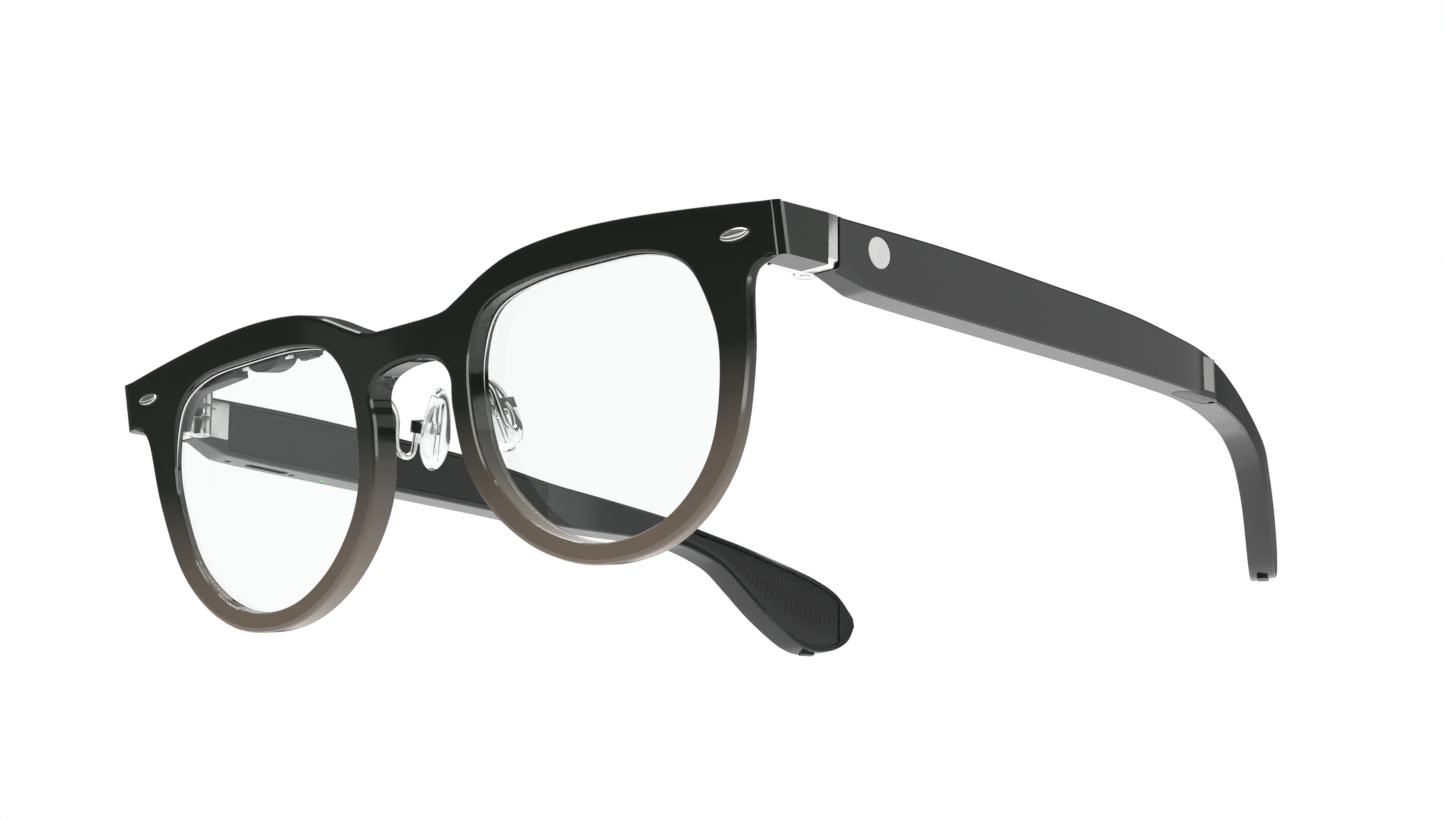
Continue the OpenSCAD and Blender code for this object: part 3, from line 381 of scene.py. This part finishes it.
def front():
    outline = front_outline()
    n = len(outline)
    out = normals(outline)
    # The rounding of the outer edge fades out at the corner, which has its own bevel
    round_off = np.clip((HALF - np.abs(outline[:, 0])) / 2.5, 0.02, 1)
    verts, faces = [], []

    def ring(points, depth, absolute=False):
        start = len(verts)
        for k, p in enumerate(points):
            d = depth[k] if isinstance(depth, np.ndarray) else depth
            verts.append((p[0], d if absolute else face_y(p[0]) + d, p[1]))
        return start

    rings, face_ring = [], None
    for inset, depth in ((0.8, 0.0), (0.22, 0.18), (0.0, 0.6)):
        pts = outline - out * (inset * round_off)[:, None]
        if face_ring is None:
            face_ring = pts
        rings.append(ring(pts, depth * round_off))
    rings.append(ring(outline, np.maximum(FRAME_T - 0.45, face_y(np.abs(outline[:, 0])) + 0.3), True))
    back = outline - out * (0.45 * round_off)[:, None]
    rings.append(ring(back, FRAME_T, True))
    for a, b in zip(rings, rings[1:]):
        faces += ring_faces(n, b, a)
    holes_front, holes_back = [], []
    for s in (1, -1):
        lens = LENS_OUTLINE * [s, 1]
        if s < 0:
            lens = lens[::-1]
        m = len(lens)
        bevel_out, lip_out = grown(lens, 0.5), grown(lens, 0.25)
        r = [ring(bevel_out, 0.0), ring(grown(lens, 0.15), 0.14), ring(lens, 0.45),
             ring(lens, FRAME_T - 0.25, True), ring(lip_out, FRAME_T, True)]
        for a, b in zip(r, r[1:]):
            faces.extend(ring_faces(m, a, b))
        holes_front.append(bevel_out)
        holes_back.append(lip_out)
    for outer, holes, at_back in ((face_ring, holes_front, False), (back, holes_back, True)):
        pts, tris = fill(outer, holes)
        start = ring(np.array(pts), FRAME_T if at_back else 0.0, at_back)
        faces += [tuple(start + i for i in t) for t in tris]
    ob = add_object("front", verts, faces, M_FRONT, MATS["front_acetate"], sharp=14)
    y = face_y(HALF)
    for s in (1, -1):
        # Its top and bottom run into those of the slab at the corner
        ends = ((-16, END_LOW - 0.52, END_TOP - 0.74), (-STRIP_W - 0.06, END_LOW, END_TOP))
        block = add_object("end_block", *loft([
            [(SIDE_IN, v, low), (HALF - 0.005, v, low), (HALF - 0.005, v, top), (SIDE_IN, v, top)]
            for v, low, top in ends]), M_TEMPLE, None, s)
        face = [(x, face_y(x) + 0.03) for x in np.linspace(SIDE_IN - 2, HALF + 2, 12)]
        combine(block, [add_object("cutter", *upright(face + [(HALF + 2, -9), (SIDE_IN - 2, -9)]),
                                   M_FRONT, None, s)])
        combine(ob, [block], "UNION")
    for s in (1, -1):
        corner = [(HALF - 2, y - 5), (HALF - 2, y - 0.21), (HALF - 1.3, y - 0.02), (HALF - 0.6, y + 0.29),
                  (HALF - 0.25, y + 0.64), (HALF + 0.75, y + 2.37), (HALF + 5, y + 2.37), (HALF + 5, y - 5)]
        combine(ob, [add_object("cutter", *upright(corner), M_FRONT, None, s)], sharp=12)
    finish_piece(ob, "front", "front_acetate", "front_frame")


def upright(outline):
    """Solid over a plan outline, from well under the front to well over it."""
    return loft([[(p[0], p[1], h) for p in outline] for h in (-60, 60)])


front()


def painted_lens_highlights():
    """Painted highlight along the upper edge of each lens, where it shows inside the rim: a bright steel bead that
    thins away towards the bottom.
    """
    start = int(np.argmin(LENS_OUTLINE[:, 1]))
    loop = np.roll(LENS_OUTLINE, -start, 0)
    for name, s in SIDES.items():
        rings = []
        for p, q, out in zip(loop, np.roll(loop, -1, 0), normals(loop)):
            r = HIGHLIGHT_R * min(1, max(0.08, (p[1] / LENS_TOP - 0.25) / 0.4))
            at = p - out * r
            highlight_y = FRAME_T - LENS_LIP - LENS_T - 0.1
            rings.append([(at[0] + out[0] * r * math.cos(a), highlight_y + r * math.sin(a),
                           at[1] + out[1] * r * math.cos(a)) for a in np.arange(8) * math.pi / 4])
        n = len(rings)
        v, f = loft(rings, cap=False)
        f += ring_faces(8, (n - 1) * 8, 0)
        # Bright steel stands in for the reflection on the lens edge: a painted highlight, not a part of the lens
        ob = add_object(f"painted_lens_highlight_{name}", v, f, M_FRONT, MATS["bright_steel"], s, sharp=60)
        finish_piece(ob, "front", "front_acetate", "front_frame")


def bevel_box(name, x, y, z, cut, matrix, mat, side):
    """Box with its twelve edges cut back by `cut`, from pairs of limits in millimetres."""
    me = bmesh.new()
    bmesh.ops.create_cube(me, size=1)
    for v in me.verts:
        v.co = Vector((x[v.co.x > 0], y[v.co.y > 0], z[v.co.z > 0]))
    bmesh.ops.bevel(me, geom=me.edges[:], offset=cut, segments=2, profile=0.7, affect="EDGES")
    me.verts.index_update()
    verts = [tuple(v.co) for v in me.verts]
    faces = [tuple(v.index for v in f.verts) for f in me.faces]
    me.free()
    return add_object(name, verts, faces, matrix, mat, side, sharp=30)


painted_lens_highlights()


# ---- Rivets ----
def oval(a, b, n=48):
    t = np.arange(n) * 2 * math.pi / n
    return np.stack([a * np.cos(t), b * np.sin(t)], 1)


def rivets():
    cx, cz = HALF - 8.1, LENS_TOP - 1.4
    profile = [(-0.05, -1.0), (-0.05, 0.15), (-0.14, 0.34), (-0.26, 0.42), (-0.38, 0.42), (-0.44, 0.26),
               (-0.54, 0.26), (-0.6, 0.38), (-0.82, 0.44)]
    for name, s in SIDES.items():
        rings = []
        for grow, high in profile:
            o = oval(2.65 + grow, 0.95 + grow)
            rings.append([(cx + p[0], face_y(cx + p[0]) - high, cz + p[1]) for p in o])
        v, f = loft(rings)
        ob = add_object(f"rivet_{name}", v, f, M_FRONT, MATS["bright_steel"], s, sharp=25)
        finish_piece(ob, "front", "bright_steel", "rivets")
        # A near-black ring round the rivet, a little proud of the face: painted shade where the seat gap lies in
        # shadow
        rings = []
        for grow, high in ((-0.08, -0.5), (-0.08, 0.03), (0.2, 0.03), (0.26, -0.5)):
            o = oval(2.65 + grow, 0.95 + grow)
            rings.append([(cx + p[0], face_y(cx + p[0]) - high, cz + p[1]) for p in o])
        v, f = loft(rings, cap=False)
        f += ring_faces(48, 3 * 48, 0)
        ob = add_object(f"rivet_painted_shade_{name}", v, f, M_FRONT, MATS["painted_shade_dark"], s)
        finish_piece(ob, "front", "front_acetate", "rivets")


rivets()


# ---- Bevelled copies of plain CAD nodes ----
def bevelled(node, body, slot, width=0.12, angle=35):
    """Takes a CAD node's own mesh and breaks its sharp edges."""
    src = frame["nodes"][node]
    bm = bmesh.new()
    bm.from_mesh(src.data)
    bmesh.ops.remove_doubles(bm, verts=bm.verts, dist=2e-6)
    bmesh.ops.dissolve_limit(bm, angle_limit=math.radians(2), verts=bm.verts, edges=bm.edges)
    edges = [e for e in bm.edges if len(e.link_faces) == 2 and e.calc_face_angle(0) > math.radians(angle)]
    bmesh.ops.bevel(bm, geom=edges, offset=width * MM, segments=2, profile=0.6, affect="EDGES",
                    clamp_overlap=True)
    bmesh.ops.triangulate(bm, faces=[f for f in bm.faces if len(f.verts) > 4])
    me = bpy.data.meshes.new(node + "_finished")
    bm.to_mesh(me)
    bm.free()
    me.shade_smooth()
    me.set_sharp_from_angle(angle=math.radians(30))
    me.materials.append(MATS[slot])
    ob = bpy.data.objects.new(node + "_finished", me)
    bpy.context.scene.collection.objects.link(ob)
    finish_piece(ob, body, slot, node)
    return ob


for side in SIDES:
    bevelled(f"hinge_plate_{side}", "front", "bright_steel", 0.12)
    bevelled(f"temple_knuckle_{side}", f"temple_{side}", "bright_steel", 0.1)
    bevelled(f"pad_box_{side}", "front", "fine_steel", 0.08)
bevelled("display_housing", "front", "display_plastic", 0.25)
bevelled("display_carriage", "display_slider", "display_plastic", 0.2)
bevelled("port_plug", "port_plug", "key_plastic", 0.15)
bevelled("control_key", "control_key", "key_plastic", 0.15)

# ---- Temples ----
STRAIGHT = TEMPLE_LEN - 59
TOP_EDGE = open_curve([
    [HINGE_GAP, END_TOP], [STRAIGHT * 0.293, TEMPLE_UP], [STRAIGHT * 0.569, TEMPLE_UP - 0.1],
    [STRAIGHT * 0.828, TEMPLE_UP - 0.5], [STRAIGHT, TEMPLE_UP - 1.7],
    [TEMPLE_LEN - 47, TEMPLE_UP - 2.9], [TEMPLE_LEN - 34.5, TEMPLE_UP - 5.1],
    [TEMPLE_LEN - 26.5, TEMPLE_UP - 7.3], [TEMPLE_LEN - 19, TEMPLE_UP - 9.5],
    [TEMPLE_LEN - 11.5, TEMPLE_UP - 12.6], [TEMPLE_LEN - 6.4, TEMPLE_UP - 15.1],
    [TEMPLE_LEN - 2.8, TEMPLE_UP - 17.8], [TEMPLE_LEN - 0.4, -TIP_DROP + 7.6],
    [TEMPLE_LEN, -TIP_DROP + 5.3]], 12)
LOW_EDGE = open_curve([
    [TEMPLE_LEN, -TIP_DROP + 5.3], [TEMPLE_LEN - 1, -TIP_DROP + 2.4],
    [TEMPLE_LEN - 3.2, -TIP_DROP + 0.6], [TEMPLE_LEN - 6.3, -TIP_DROP],
    [TEMPLE_LEN - 9.2, -TIP_DROP + 1], [TEMPLE_LEN - 12, -TIP_DROP + 3.3],
    [TEMPLE_LEN - 15.5, -TIP_DROP + 6.9], [TEMPLE_LEN - 19, -TIP_DROP + 11],
    [TEMPLE_LEN - 23.4, -TEMPLE_DOWN - 3.6], [TEMPLE_LEN - 29.4, -TEMPLE_DOWN - 0.8],
    [TEMPLE_LEN - 34.4, -TEMPLE_DOWN], [TEMPLE_LEN - 42.4, -TEMPLE_DOWN + 0.4],
    [STRAIGHT * 0.958, -TEMPLE_DOWN + 0.5], [STRAIGHT * 0.793, -TEMPLE_DOWN + 0.5],
    [STRAIGHT * 0.431, -TEMPLE_DOWN + 0.1], [6.5, -TEMPLE_DOWN], [HINGE_GAP, END_LOW]], 12)[::-1]
TIP_CURVE = open_curve([[TEMPLE_LEN - a, b] for a, b in [
    [140, 0], [100, 0], [81, 0], [61, 0.008], [53, 0.035], [45, 0.115], [37, 0.23], [31, 0.325],
    [25, 0.42], [18, 0.55], [11, 0.72], [5, 0.87], [-1, 1.02]]], 8)
CAVITY_V1 = TEMPLE_LEN - 60.4
COVER_V0, COVER_V1 = 6.9, CAVITY_V1 + 1.6
RIM = 0.9
CHIN_V = 6.5
GRIP_V0 = TEMPLE_LEN - 34
EAR_V = 39.6


def top_at(v):
    return float(np.interp(v, TOP_EDGE[:, 0], TOP_EDGE[:, 1]))


def low_at(v):
    if v < CHIN_V:
        return END_LOW + (-TEMPLE_DOWN - END_LOW) * (v - HINGE_GAP) / (CHIN_V - HINGE_GAP)
    return float(np.interp(v, LOW_EDGE[:, 0], LOW_EDGE[:, 1]))


def shift_at(v):
    return TIP_IN * float(np.interp(v, TIP_CURVE[:, 0], TIP_CURVE[:, 1]))


def temple_section(v, rim, recess):
    """One slice of a temple: the inner face has a recess that starts `rim` from both edges."""
    xi, top, low = SIDE_IN - shift_at(v), top_at(v), low_at(v)
    xo = xi + TEMPLE_T
    h = top - low
    k = min(1.0, max(0.03, h / 6.0), max(0.1, (v - 0.1) / 0.7))
    chin = max(0.0, 1 - v / CHIN_V)
    a, b, c, d = 0.75 * k, 0.4 * k, (0.3 + 1.6 * chin) * k, 0.35 * k
    rim = min(rim, h * 0.35)
    return [
        (xo, v, top - b), (xo - 0.3 * b, v, top - 0.3 * b), (xo - b, v, top),
        (xi + a, v, top), (xi + 0.35 * a, v, top - 0.2 * a), (xi, v, top - a * 0.8),
        (xi, v, top - rim), (xi + recess, v, top - rim - 0.02),
        (xi + recess, v, low + rim + 0.02), (xi, v, low + rim),
        (xi, v, low + d * 0.8), (xi + 0.3 * d, v, low + 0.3 * d), (xi + d, v, low),
        (xo - c, v, low), (xo - 0.45 * c, v, low + 0.4 * c), (xo, v, low + c)]


def temple_stations():
    v = [HINGE_GAP, 0.35, 0.6, 0.9] + list(np.arange(1.5, 6.5, 0.5)) + list(np.arange(7.5, 100, 1.5))
    v += list(np.arange(100, TEMPLE_LEN - 3, 0.6))
    v += list(np.linspace(TEMPLE_LEN - 3, TEMPLE_LEN - 0.02, 16))
    g0, g1 = GRIP_V0, TEMPLE_LEN - 2.5
    out = [(x, RIM, 0.0) for x in v if not COVER_V0 - 0.02 < x < COVER_V1 + 0.02
           and not g0 - 0.02 < x < g1]
    out += [(COVER_V0 - 0.01, RIM, 0.0), (COVER_V1 + 0.01, RIM, 0.0)]
    out += [(COVER_V0, RIM, 0.5), (COVER_V1, RIM, 0.5)]
    out += [(x, RIM, 0.5) for x in v if COVER_V0 + 0.02 < x < COVER_V1 - 0.02]
    out += [(g0 - 0.01, 1.1, 0.0), (g1 + 0.01, 1.1, 0.0), (g0, 1.1, 0.5), (g1, 1.1, 0.5)]
    out += [(x, 1.1, 0.5) for x in v if g0 + 0.02 < x < g1 - 0.02]
    return sorted(out)


def slot_shape(l, w, n=12):
    """Rounded slot outline in X and Y."""
    r, s = w / 2, (l - w) / 2
    t = np.linspace(0, math.pi, n)
    return np.array([(r * math.cos(a), s + r * math.sin(a)) for a in t]
                    + [(-r * math.cos(a), -s - r * math.sin(a)) for a in t])


def prism(outline, x, v, z0, z1):
    return loft([[(x + p[0], v + p[1], z) for p in outline] for z in (z0, z1)])


def side_prism(outline, v, z, x0, x1):
    """Solid over an outline seen from the side, whose own X runs up."""
    return loft([[(x, v + p[1], z + p[0]) for p in outline] for x in (x0, x1)])


SOCKET_V, SOCKET_W, SOCKET_H, MIC_D = TEMPLE_LEN - 52.4, 8.94, 3.16, TEMPLE_T - 1.9


def temple(name, s):
    body = f"temple_{name}"
    v, f = loft([temple_section(*st) for st in temple_stations()])
    ob = add_object(f"temple_{name}", v, f, M_TEMPLE, MATS["temple_plastic"], s, sharp=20)
    cuts = [side_prism(oval(2.45, 2.45), 8.8, 0, HALF - 0.3, HALF + 1)]
    ear_slot = side_prism(slot_shape(9.12, 1.72), EAR_V, 0, SIDE_IN - 3, SIDE_IN + 1)
    if s > 0:
        cuts.append(ear_slot)
        cuts.append(prism(slot_shape(SOCKET_W + 0.95, SOCKET_H + 0.35), SIDE_IN + TEMPLE_T / 2, SOCKET_V,
                          -12, low_at(SOCKET_V) + 1.1))
    else:
        cuts.append(prism(slot_shape(9.12, 1.72), SIDE_IN + TEMPLE_T - 2.4, 17.6, -12, low_at(17.6) + 1.2))
        for mv in (9.5, 23.6):
            cuts.append(prism(oval(0.56, 0.56, 20), SIDE_IN + MIC_D, mv, -12, low_at(mv) + 0.8))
        cuts.append(prism(oval(0.6, 0.6, 20), SIDE_IN + MIC_D, 30.5, -12, low_at(30.5) + 0.8))
        cuts.append(prism(slot_shape(8.2, 2.6), SIDE_IN + TEMPLE_T / 2 + 0.5, 14, TEMPLE_UP - 2.2, 8))
    combine(ob, [add_object("cutter", *c, M_TEMPLE, None, s) for c in cuts])
    finish_piece(ob, body, "temple_plastic", f"temple_shell_{name}")

    # Cover plate in its recess
    rings = []
    gap, thick = 0.1, 0.45
    vs = [COVER_V0 + gap] + list(np.arange(8, COVER_V1 - 0.5, 1.5)) + [COVER_V1 - gap]
    for v0 in vs:
        xi = SIDE_IN - shift_at(v0)
        t, l = top_at(v0) - RIM - gap, low_at(v0) + RIM + gap
        e = 0.1
        rings.append([(xi + thick, v0, t), (xi + e, v0, t), (xi, v0, t - e), (xi, v0, l + e),
                      (xi + e, v0, l), (xi + thick, v0, l)])
    v, f = loft(rings)
    ob = add_object(f"temple_cover_{name}_finished", v, f, M_TEMPLE, MATS["cover_plastic"], s)
    if s > 0:
        combine(ob, [add_object("cutter", *ear_slot, M_TEMPLE, None, s)])
    finish_piece(ob, body, "cover_plastic", f"temple_cover_{name}")

    # Ribbed rubber in the tip
    g0, g1 = GRIP_V0 + 0.12, TEMPLE_LEN - 2.62
    rows = 13
    rings = []
    for v0 in np.arange(g0, g1, 0.09):
        xi = SIDE_IN - shift_at(v0)
        h = top_at(v0) - low_at(v0)
        rim = min(1.1, h * 0.35) + 0.12
        t, l = top_at(v0) - rim, low_at(v0) + rim
        ring = [(xi + 0.45, v0, t)]
        for k in range(rows):
            u = k / (rows - 1)
            phase = (v0 - g0 + 1.6 * (2 * u - 1) ** 2) / 0.82
            edge = min(1.0, 5 * min(u, 1 - u) + 0.001, (v0 - g0) / 0.8 + 0.01, (g1 - v0) / 0.8 + 0.01)
            rib = abs(math.sin(math.pi * phase)) ** 0.7
            ring.append((xi + 0.22 - (0.1 + 0.22 * rib) * edge, v0, t + (l - t) * u))
        ring.append((xi + 0.45, v0, l))
        rings.append(ring)
    v, f = loft(rings)
    ob = add_object(f"tip_grip_{name}_ribbed", v, f, M_TEMPLE, MATS["grip_rubber"], s, sharp=50)
    finish_piece(ob, body, "grip_rubber", f"tip_grip_{name}")

    # Plain round inlay on the outer face
    rings = []
    for r, high in ((2.38, -0.3), (2.38, -0.12), (2.3, -0.06), (1.75, -0.06), (1.68, -0.12), (1.58, -0.12),
                    (1.5, -0.06), (1.2, -0.06)):
        rings.append([(HALF + high, 8.8 + p[0], p[1]) for p in oval(r, r)])
    v, f = loft(rings)
    ob = add_object(f"emblem_{name}_inlay", v, f, M_TEMPLE, MATS["emblem_metal"], s, sharp=25)
    finish_piece(ob, body, "emblem_metal", f"emblem_{name}")


for name, s in SIDES.items():
    temple(name, s)

# ---- Nose pads ----
PAD_OUTLINE = closed_curve([
    [-0.5 * PAD_W, -0.12 * PAD_H], [-0.36 * PAD_W, -0.38 * PAD_H], [0, -0.5 * PAD_H],
    [0.36 * PAD_W, -0.38 * PAD_H], [0.5 * PAD_W, -0.12 * PAD_H], [0.4 * PAD_W, 0.2 * PAD_H],
    [0.22 * PAD_W, 0.43 * PAD_H], [0, 0.5 * PAD_H], [-0.22 * PAD_W, 0.43 * PAD_H],
    [-0.4 * PAD_W, 0.2 * PAD_H]], 6)


def nose_pad(name, s):
    rings = []
    for inset, depth in ((2.6, 0.0), (1.6, 0.02), (0.8, 0.12), (0.35, 0.3), (0.08, 0.6), (0, 0.85),
                         (0.08, 1.15), (0.35, 1.42), (0.9, 1.6), (1.7, 1.68), (2.6, 1.7)):
        o = grown(PAD_OUTLINE, -inset)
        rings.append([(-PAD_BACK - depth, p[0], p[1]) for p in o])
    v, f = loft(rings)
    ob = add_object(f"nose_pad_{name}_drop", v, f, M_PAD_OF[s], MATS["clear_silicone"], s, sharp=60)
    finish_piece(ob, f"nose_pad_{name}", "clear_silicone", f"nose_pad_{name}")
    lug = bevel_box(f"nose_pad_{name}_lug", (-PAD_BACK - 0.9, 0.0), (-0.62, 0.62), (-0.85, 0.85), 0.15,
                    M_PAD_OF[s], MATS["clear_silicone"], s)
    finish_piece(lug, f"nose_pad_{name}", "clear_silicone", f"nose_pad_{name}")


MIRROR = Matrix.Scale(-1, 4, Vector((1, 0, 0)))
# add_object mirrors in the pad's own frame, so the right pad's frame is the mirror of the left one
M_PAD_OF = {1: M_PAD, -1: MIRROR @ M_PAD @ MIRROR}
FOOT = np.array([NOSE_X + 2.3, FRAME_T - 1.5, PAD_UP + 4])
ARM = np.array([FOOT, FOOT + [0, 1.6, 0], FOOT + [0, 2.6, 0], FOOT + [0.5, 3.9, -2.2]]
               + [[PAD_X + a, PAD_Y + b, PAD_UP + c] for a, b, c in (
                   (3.4, -3.2, -2.4), (3.3, -2, -4), (2.9, -0.6, -3.7), (2.2, -0.1, -1.4),
                   (1.2, -0.5, 0.35))])


def tube(points, r, n=16):
    """Round tube along smooth points."""
    rings, side = [], None
    for i, p in enumerate(points):
        d = points[min(i + 1, len(points) - 1)] - points[max(i - 1, 0)]
        d = Vector(d).normalized()
        if side is None:
            side = d.orthogonal().normalized()
        side = (side - d * side.dot(d)).normalized()
        other = d.cross(side)
        rings.append([Vector(p) + side * r * math.cos(a) + other * r * math.sin(a)
                      for a in np.arange(n) * 2 * math.pi / n])
    return loft(rings)


for name, s in SIDES.items():
    nose_pad(name, s)
    v, f = tube(open_curve(ARM, 8), ARM_R)
    ob = add_object(f"pad_arm_{name}_wire", v, f, M_FRONT, MATS["fine_steel"], s, sharp=60)
    finish_piece(ob, "front", "fine_steel", f"pad_arm_{name}")


# ---- Stage ----
FLOOR_Z = -0.13


def stage():
    me = bpy.data.meshes.new("floor")
    r = 4.0
    z = FLOOR_Z
    me.from_pydata([(-r, -r, z), (r, -r, z), (r, r, z), (-r, r, z)], [], [(0, 1, 2, 3)])
    floor = bpy.data.objects.new("floor", me)
    bpy.context.scene.collection.objects.link(floor)
    me.materials.append(Mat("floor_pale", (0.9, 0.9, 0.9), 0.8, vary=0.01, grain=3, bump=0).mat)

    world = bpy.data.worlds.new("studio")
    bpy.context.scene.world = world
    world.use_nodes = True
    # What the eye sees behind the object is white; what lights and reflects in it is a dim room
    tree = world.node_tree
    white = tree.nodes["Background"]
    white.inputs["Color"].default_value = (1, 1, 1, 1)
    room = tree.nodes.new("ShaderNodeBackground")
    room.inputs["Color"].default_value = (1, 1, 1, 1)
    room.inputs["Strength"].default_value = 0.15
    path = tree.nodes.new("ShaderNodeLightPath")
    seen = tree.nodes.new("ShaderNodeMath")
    seen.operation = "MAXIMUM"
    mix = tree.nodes.new("ShaderNodeMixShader")
    tree.links.new(path.outputs["Is Camera Ray"], seen.inputs[0])
    tree.links.new(path.outputs["Is Transmission Ray"], seen.inputs[1])
    tree.links.new(seen.outputs["Value"], mix.inputs["Fac"])
    tree.links.new(room.outputs["Background"], mix.inputs[1])
    tree.links.new(white.outputs["Background"], mix.inputs[2])
    tree.links.new(mix.outputs["Shader"], tree.nodes["World Output"].inputs["Surface"])

    def area(name, at, wide, high, radiance, target=(0, 0, 0.02)):
        """A soft box of that width and height, as bright as `radiance`."""
        light = bpy.data.lights.new(name, "AREA")
        light.shape, light.size, light.size_y = "RECTANGLE", wide, high
        light.energy = radiance * math.pi * wide * high
        ob = bpy.data.objects.new(name, light)
        ob.location = at
        ob.rotation_euler = (Vector(target) - Vector(at)).to_track_quat("-Z", "Y").to_euler()
        bpy.context.scene.collection.objects.link(ob)

    area("overhead", (0, 0, 1.3), 1.6, 1.6, 4.5)
    area("side_box", (0.95, 0.95, 0.1), 1.3, 0.8, 0.7)
    area("front_strip", (0.0, -1.3, 0.1), 0.2, 0.7, 6)
    area("corner_strip", (1.3, -0.4, 0.1), 0.18, 0.7, 5)
    area("far_strip", (-1.0, -0.9, 0.25), 0.12, 0.5, 0.2)


def camera():
    cam = bpy.data.cameras.new("camera")
    cam.sensor_width, cam.lens = 36, 86.1
    cam.clip_start, cam.clip_end = 0.01, 50
    ob = bpy.data.objects.new("camera", cam)
    heading, pitch, roll = math.radians(42.389), math.radians(6.884), math.radians(-6.992)
    ahead = Vector((-math.sin(heading) * math.cos(pitch), math.cos(heading) * math.cos(pitch),
                    math.sin(pitch)))
    right = Vector((math.cos(heading), math.sin(heading), 0))
    right = Matrix.Rotation(-roll, 3, ahead) @ right
    up = right.cross(ahead)
    m = axes_matrix(Vector((386.94, -353.95, -63.29)) * MM, right, up, -ahead)
    ob.matrix_world = M_FRONT @ m
    bpy.context.scene.collection.objects.link(ob)
    bpy.context.scene.camera = ob
    bpy.context.scene.view_settings.view_transform = "Standard"


stage()
camera()
